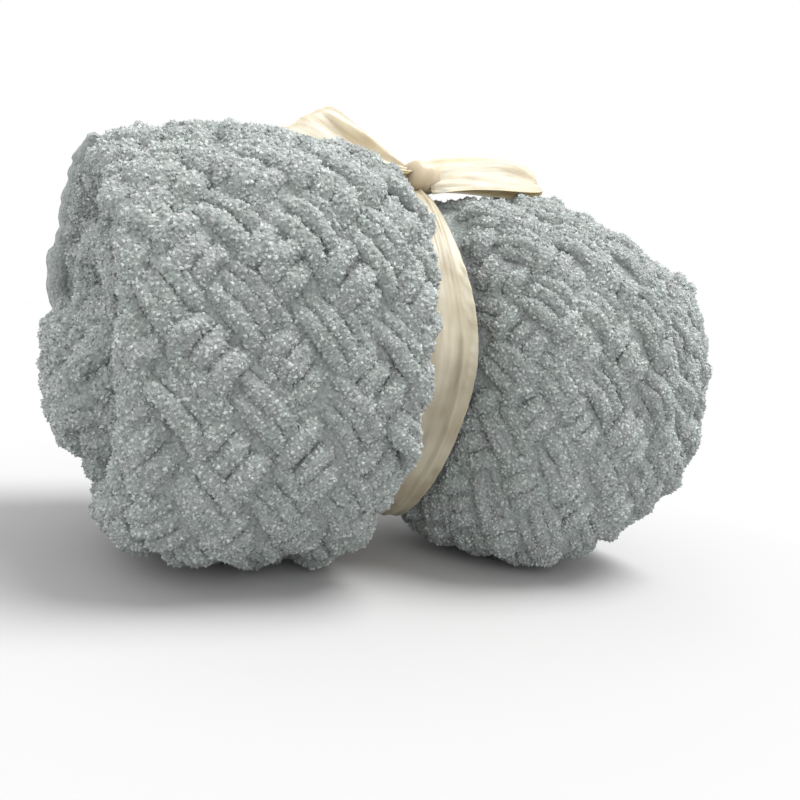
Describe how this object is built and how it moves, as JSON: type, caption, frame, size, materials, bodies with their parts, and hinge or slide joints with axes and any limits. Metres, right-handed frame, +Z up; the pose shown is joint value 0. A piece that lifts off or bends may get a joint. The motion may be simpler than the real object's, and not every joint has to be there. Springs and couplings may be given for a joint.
{
  "type": "rolled plush knit quilt tied with a ribbon",
  "caption": "Chunky hand-knit chenille blanket, folded, rolled into a plump bundle and drawn in at its middle by a wide satin ribbon tied in a bow.",
  "frame": {"origin": "on the floor, under the middle of the bounding box of the whole bundle", "axes": "+X along the roll, from its near end to its far end; +Y to its back; +Z up, with the bow on top"},
  "size_m": [0.4495, 0.2603, 0.3],
  "materials": {
    "knit": "matte plush chenille",
    "satin": "satin sheen"
  },
  "bodies": {
    "root": {"blanket": "knit", "ribbon_band": "satin", "bow_knot": "satin", "bow_loop_near": "satin", "bow_loop_far": "satin"}
  },
  "joints": []
}
